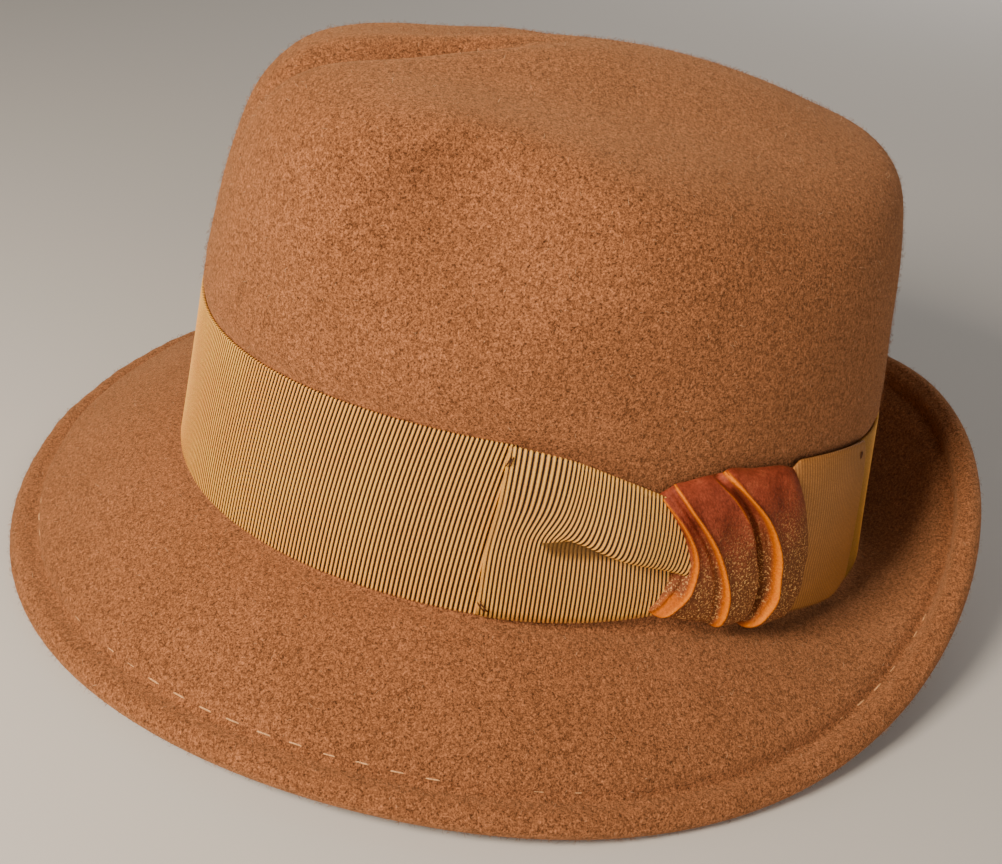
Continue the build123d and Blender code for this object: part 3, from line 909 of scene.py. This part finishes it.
def pleated(place, across, up, edges, crease):
    """How far out the velvet lies between its edges: three pleats and the deep crease."""
    shape = 4.6 + 1.1 * np.sin(pi * across)
    pleats = ((1.5, 7.0, 0.22), (1.9, 11.0, 0.25), (2.4, 16.0, 0.28))
    for edge, (rise, fade, sharp) in zip(edges, pleats):
        past = place - edge
        shape = shape + rise * step_up(past, sharp) * np.exp(-np.maximum(past, 0) / fade)
        shape = shape + 0.75 * hump(past - 0.75, 0.75)
        shape = shape - 0.9 * hump(past + 1.0, 0.9)
    deep = eased(up, 3, 10) * (1 - eased(up, 38, 45))
    shape = shape + 0.5 * hump(place - crease + 2.0, 0.6) * eased(up, 29, 35)
    shape = shape - 3.5 * hump(place - crease, 1.0) * deep
    return shape + 0.35 * np.sin(place * 0.55 + up * 0.23) * np.sin(up * 0.31 + 1.2)


def painted_fold_highlights(place, up, left, edges, crease):
    """Painted highlight on the velvet's fold edges, its left side and the crease's lip, from 0 to
    1.
    """
    painted_highlight = np.zeros(up.shape)
    for edge, size, strength in zip(edges, (0.5, 0.6, 0.7), (0.9, 1.0, 1.0)):
        painted_highlight = np.maximum(painted_highlight, strength * hump(place - edge - 0.45, size))
    tongue = hump(place - left - 2.4, 2.2) * (1 - eased(up, 11, 16))
    painted_highlight = np.maximum(painted_highlight, 0.65 * tongue)
    lip = hump(place - crease + 2.0, 0.45) * eased(up, 31, 36)
    return np.maximum(painted_highlight, 0.6 * lip)


def velvet_knot():
    """Velvet strap gathered around the middle of the bow, in three slanting pleats."""
    random = np.random.default_rng(5)
    rows, cols = 150, 190
    level = np.linspace(0, 1, rows)[:, None]
    across = np.linspace(0, 1, cols)[None, :]
    low = 0.6 + 5.6 * (1 - across) ** 1.5
    high = 37.4 + 7.7 * (1 - (1 - across) ** 2.4) - 1.0 * eased(across, 0.88, 1.0) ** 2
    flat_up = low + (high - low) * level
    left, right, edges, crease = knot_lines(flat_up)
    place = left + (right - left) * across
    # the strap's edges scallop where each pleat turns over the bow's edge
    scallop = 0.9 * hump(place - edges[2] - 3, 5) + 0.6 * hump(place - edges[1] - 1, 3)
    pull = scallop - 1.5 * hump(place - crease, 1.8)
    up = flat_up + pull * np.where(level > 0.5, eased(level, 0.9, 1), -eased(1 - level, 0.9, 1))
    side = quarter_round(across, 0.06) * quarter_round(1 - across, 0.16)
    ends = np.sqrt(np.clip(1 - np.abs(2 * level - 1) ** 6, 0, 1))
    pile = random.normal(0, 0.05, up.shape)
    shape = pleated(place, across, up, edges, crease)
    out = KNOT_BASE + (shape - KNOT_BASE + pile) * side * ends
    inside = 0.3 + 0.4 * side * ends
    front = on_band(along(place), up, out)
    back = on_band(along(place), flat_up, np.minimum(inside, out - 0.2))
    back[0], back[-1] = front[0], front[-1]
    back[:, 0], back[:, -1] = front[:, 0], front[:, -1]
    painted_highlight = painted_fold_highlights(place, up, left, edges, crease)
    glitter = eased(34 - up + 0.35 * (place - 20), -4, 22) * (1 - 0.8 * painted_highlight)
    # the fold value carries the painted highlight
    values = {"fold": [painted_highlight, painted_highlight * 0], "glitter": [glitter, glitter]}
    parts = [(front, False, False), (back, False, False)]
    piece = mesh_piece("velvet_wrap", parts, values)
    weld(piece)
    piece.data.materials.append(velvet_material())
    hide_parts("velvet_knot")


# ------------------------------ stitches
def capsules(paths, radius, sides=8):
    """Closed round threads along paths of points, drawn in to a point at both ends."""
    grids = []
    spin = np.linspace(0, 2 * pi, sides, endpoint=False)[None, :, None]
    for path in paths:
        count = len(path)
        taper = np.sqrt(np.clip(1 - np.abs(np.linspace(-1, 1, count)) ** 4, 0, 1)) * radius
        ahead = unit(np.gradient(path, axis=0))
        side = unit(np.cross(ahead, (0.3, 0.2, 1.0)))
        top = np.cross(side, ahead)
        ring = side[:, None] * np.cos(spin) + top[:, None] * np.sin(spin)
        grids.append((path[:, None] + ring * taper[:, None, None], False, True))
    return grids


def threads(name, paths, radius, material):
    """One piece of separate stitches."""
    piece = mesh_piece(name, capsules(paths, radius))
    weld(piece)
    piece.data.materials.append(material)
    return piece


def welt_stitching():
    """Running stitches sunk in the groove around the brim, some lying prouder than others."""
    random = np.random.default_rng(11)
    steps = np.linspace(-1, 1, 11)
    paths = []
    for k in range(STITCH_COUNT):
        middle = 2 * pi * (k + 0.5) / STITCH_COUNT + random.normal(0, 0.002)
        reach = waves(middle, BRIM_WIDTH)
        reach += HEAD_HALF_LENGTH * abs(sin(middle)) + HEAD_HALF_WIDTH * abs(cos(middle))
        turn = middle + STITCH_LENGTH / 2 / min(reach, 140) * steps
        spot = brim_point(turn, welt_share(turn, WELT_WIDTH + random.normal(0, 0.12)))
        inner = brim_point(turn, welt_share(turn, WELT_WIDTH + 2))
        facing = unit(np.cross(spot - inner, np.gradient(spot, axis=0)))
        # deeper in the felt along the back left and the front right of the brim
        sunk = max(cos(middle - 0.75), 0) ** 2 + 0.6 * max(cos(middle + 2.3), 0) ** 2
        height = random.normal(0, 0.12) - STITCH_DEPTH - sunk - 0.75 * np.abs(steps) ** 6
        paths.append(spot + facing * height[:, None])
    material = thread_material("welt_thread", (0.85, 0.45, 0.20))
    piece = threads("welt_threads", paths, STITCH_RADIUS, material)
    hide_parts("welt_stitching")


def bow_tacks():
    """Small catch stitches, in pairs, that hold the folds of the bow to the band."""
    steps = np.linspace(-1, 1, 9)
    # place, height, lean and distance out of each pair
    spots = (
        (FRONT_FOLD + 0.8, 4.2, -1.2, 3.15),
        (FRONT_FOLD + 2.4, 42.6, 0.5, 3.15),
        (REAR_FOLD - 3, 42.8, 0.4, 2.2),
    )
    paths = []
    for place, up, lean, proud in spots:
        for shift in (0, 0.7):
            turn = along(place + shift + lean * steps)
            paths.append(on_band(turn, up + 1.3 * steps + 0.2 * shift, proud - 0.7 * steps ** 4))
    material = thread_material("tack_thread", (0.09, 0.03, 0.01))
    piece = threads("tack_threads", paths, TACK_RADIUS, material)
    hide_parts("bow_tacks")


# ------------------------------ sweatband and lining
def ring_sheet(name, outer, thickness):
    """Closed thin sheet round the hat from its outer face's rows of points."""
    inner = outer - normals_of(outer, True) * thickness
    grid = np.concatenate([outer, inner[::-1]])
    piece = mesh_piece(name, [(grid, True, True)])
    weld(piece)
    return piece


def sweatband():
    """Leather band inside the crown; its free upper edge waves a little inwards."""
    turn = np.linspace(0, 2 * pi, 360, endpoint=False)
    rows = []
    for up in np.linspace(SWEATBAND_HEIGHT, 1.6, 26):
        share = up / SWEATBAND_HEIGHT
        wave = (0.9 * np.sin(3 * turn + 1.0) ** 2 + 0.5 * np.sin(8 * turn) ** 2) * share ** 3
        soft = 0.25 * np.sin(pi * share) * np.sin(5 * turn + 2 * share) ** 2
        curl = 0.5 * np.clip((share - 0.94) / 0.06, 0, 1) ** 2
        rows.append(on_band(turn, up, SWEATBAND_OUT - wave - soft - curl))
    outer = np.stack(rows)
    piece = ring_sheet("sweatband_leather", outer, SWEATBAND_THICKNESS)
    piece.data.materials.append(leather_material())
    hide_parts("sweatband")


def lining_out(turn, up):
    """How far out the lining's outer face lies; it eases in as it rises."""
    return LINING_OUT - 0.02 * up * (1 + 0.6 * np.cos(turn) ** 2)


def lining_side():
    """Upright strip of satin, gathered where the sweatband holds its lower edge."""
    turn = np.linspace(0, 2 * pi, GATHERS * 10, endpoint=False)
    low = lining_out(turn, LINING_BOTTOM)
    top = lining_out(turn, LINING_TOP) - LINING_LEAN
    pleat = 0.5 + 0.5 * np.cos(GATHERS * turn + 1.5 * np.sin(5 * turn))
    uneven = 0.6 + 0.4 * np.sin(7 * turn + 0.4) ** 2
    rows = []
    for share in np.linspace(1, 0, 22):
        depth = 1.5 * (1 - share) ** 1.3 + 0.35 * share
        up = LINING_BOTTOM + (LINING_TOP - LINING_BOTTOM) * share
        rows.append(on_band(turn, up, low + (top - low) * share - depth * pleat * uneven))
    piece = ring_sheet("lining_wall", np.stack(rows), LINING_THICKNESS)
    piece.data.materials.append(SATIN)
    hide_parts("lining_side")


def lining_tip():
    """Oval satin top, lying loosely under the crown with soft pulls towards its seam."""
    turn = np.linspace(0, 2 * pi, 264, endpoint=False)
    rim_out = lining_out(turn, LINING_TOP) - LINING_LEAN - LINING_THICKNESS / 2
    rim = on_band(turn, LINING_TOP + 2.5, rim_out)
    ridge_y = OVAL_CENTRE_Y + RIDGE_MIDDLE_Y + RIDGE_HALF_LENGTH * np.sin(turn)
    peak = points(0 * turn, ridge_y, ridge_height(ridge_y) - 20)
    rows = []
    for share in np.linspace(0, 1, 40):
        slack = 0.8 * np.sin(4 * turn + 3 * share) * share * (1 - share)
        pulls = np.sin(33 * turn) * share ** 6 + slack
        lift = 6 * share * (1 - share) + 0.55 * pulls * (1 - share ** 12)
        rows.append(peak * (1 - share) + rim * share + points(0 * turn, 0 * turn, lift))
    outer = np.stack(rows)
    facing = normals_of(outer, True)
    facing[0] = (0, 0, 1)
    inner = outer - facing * LINING_THICKNESS
    grid = np.concatenate([outer, inner[::-1]])
    piece = mesh_piece("lining_crown", [(grid, False, True)])
    weld(piece)
    piece.data.materials.append(SATIN)
    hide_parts("lining_tip")


# ------------------------------ carried-over CAD nodes
def dress(node, material):
    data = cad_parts[node].data
    data.materials.clear()
    data.materials.append(material)
    data.polygons.foreach_set("material_index", [0] * len(data.polygons))


# ------------------------------ stage, light and camera
def stage_floor():
    size = 6.0
    corners = [(-size, -size, 0), (size, -size, 0), (size, size, 0), (-size, size, 0)]
    mesh = bpy.data.meshes.new("floor")
    mesh.from_pydata(corners, [], [(0, 1, 2, 3)])
    floor = bpy.data.objects.new("floor", mesh)
    bpy.context.scene.collection.objects.link(floor)
    mesh.materials.append(Look("floor").done((0.62, 0.60, 0.57), roughness=0.9))


def softbox(name, position, target, size, power, colour):
    """Square soft light that looks at its target."""
    light = bpy.data.lights.new(name, "AREA")
    light.shape = "SQUARE"
    light.size = size
    light.energy = power
    light.color = colour
    holder = bpy.data.objects.new(name, light)
    holder.location = position
    holder.rotation_euler = (Vector(target) - Vector(position)).to_track_quat("-Z", "Y").to_euler()
    bpy.context.scene.collection.objects.link(holder)


def studio_light():
    """One small, warm key light and three wide ones further off."""
    middle = (0, 0, 0.06)
    softbox("key", (0.285, -0.465, 0.437), (0.02, -0.03, 0.08), 0.20, 6.4, (1.0, 0.86, 0.70))
    softbox("fill", (1.1, 0.25, 0.45), middle, 0.9, 4.7, (1.0, 0.91, 0.83))
    softbox("back", (-0.9, 0.7, 0.5), middle, 0.9, 4.2, (1.0, 0.95, 0.90))
    softbox("top", (-0.5, 0.1, 1.2), middle, 0.9, 0.7, (1.0, 0.94, 0.86))
    world = bpy.data.worlds.new("world")
    world.use_nodes = True
    background = world.node_tree.nodes["Background"]
    background.inputs["Color"].default_value = (0.80, 0.77, 0.74, 1)
    background.inputs["Strength"].default_value = 0.13
    bpy.context.scene.world = world


def camera():
    """Camera that looks down at the bow's side, a little tilted."""
    flat = cos(VIEW_ELEVATION)
    back = Vector((sin(VIEW_AZIMUTH) * flat, -cos(VIEW_AZIMUTH) * flat, sin(VIEW_ELEVATION)))
    right = Vector((cos(VIEW_AZIMUTH), sin(VIEW_AZIMUTH), 0))
    up = back.cross(right)
    centre = Vector((0, OVAL_CENTRE_Y, BREAK_HEIGHT)) * MM
    across = right * cos(VIEW_ROLL) + up * sin(VIEW_ROLL)
    upward = up * cos(VIEW_ROLL) - right * sin(VIEW_ROLL)
    turn = Matrix((across, upward, back)).transposed().to_4x4()
    turn.translation = centre + back * VIEW_DISTANCE + right * VIEW_SHIFT[0] + up * VIEW_SHIFT[1]
    data = bpy.data.cameras.new("camera")
    data.sensor_width = SENSOR
    data.lens = FOCAL
    data.clip_start = 0.01
    holder = bpy.data.objects.new("camera", data)
    holder.matrix_world = turn
    bpy.context.scene.collection.objects.link(holder)
    bpy.context.scene.camera = holder


crown_face, brim_face = felt_body()
felt_nap("felt_nap_crown", crown_face, NAP_COUNT, 3)
felt_nap("felt_nap_brim", brim_face, NAP_COUNT, 4)
hat_band()
bow_front_wing()
bow_rear_wing()
velvet_knot()
welt_stitching()
bow_tacks()
sweatband()
lining_side()
lining_tip()

dress("reed_tape", TAPE)
dress("sweatband_reed", reed_material())
dress("sweatband_stitching", thread_material("band_thread", (0.50, 0.36, 0.22)))
dress("sweatband_join_tape", TAPE)
dress("sweatband_bow", TAPE)
dress("size_tab", tape_material("tab", (0.62, 0.58, 0.50)))
dress("lining_piping", SATIN)

stage_floor()
studio_light()
camera()
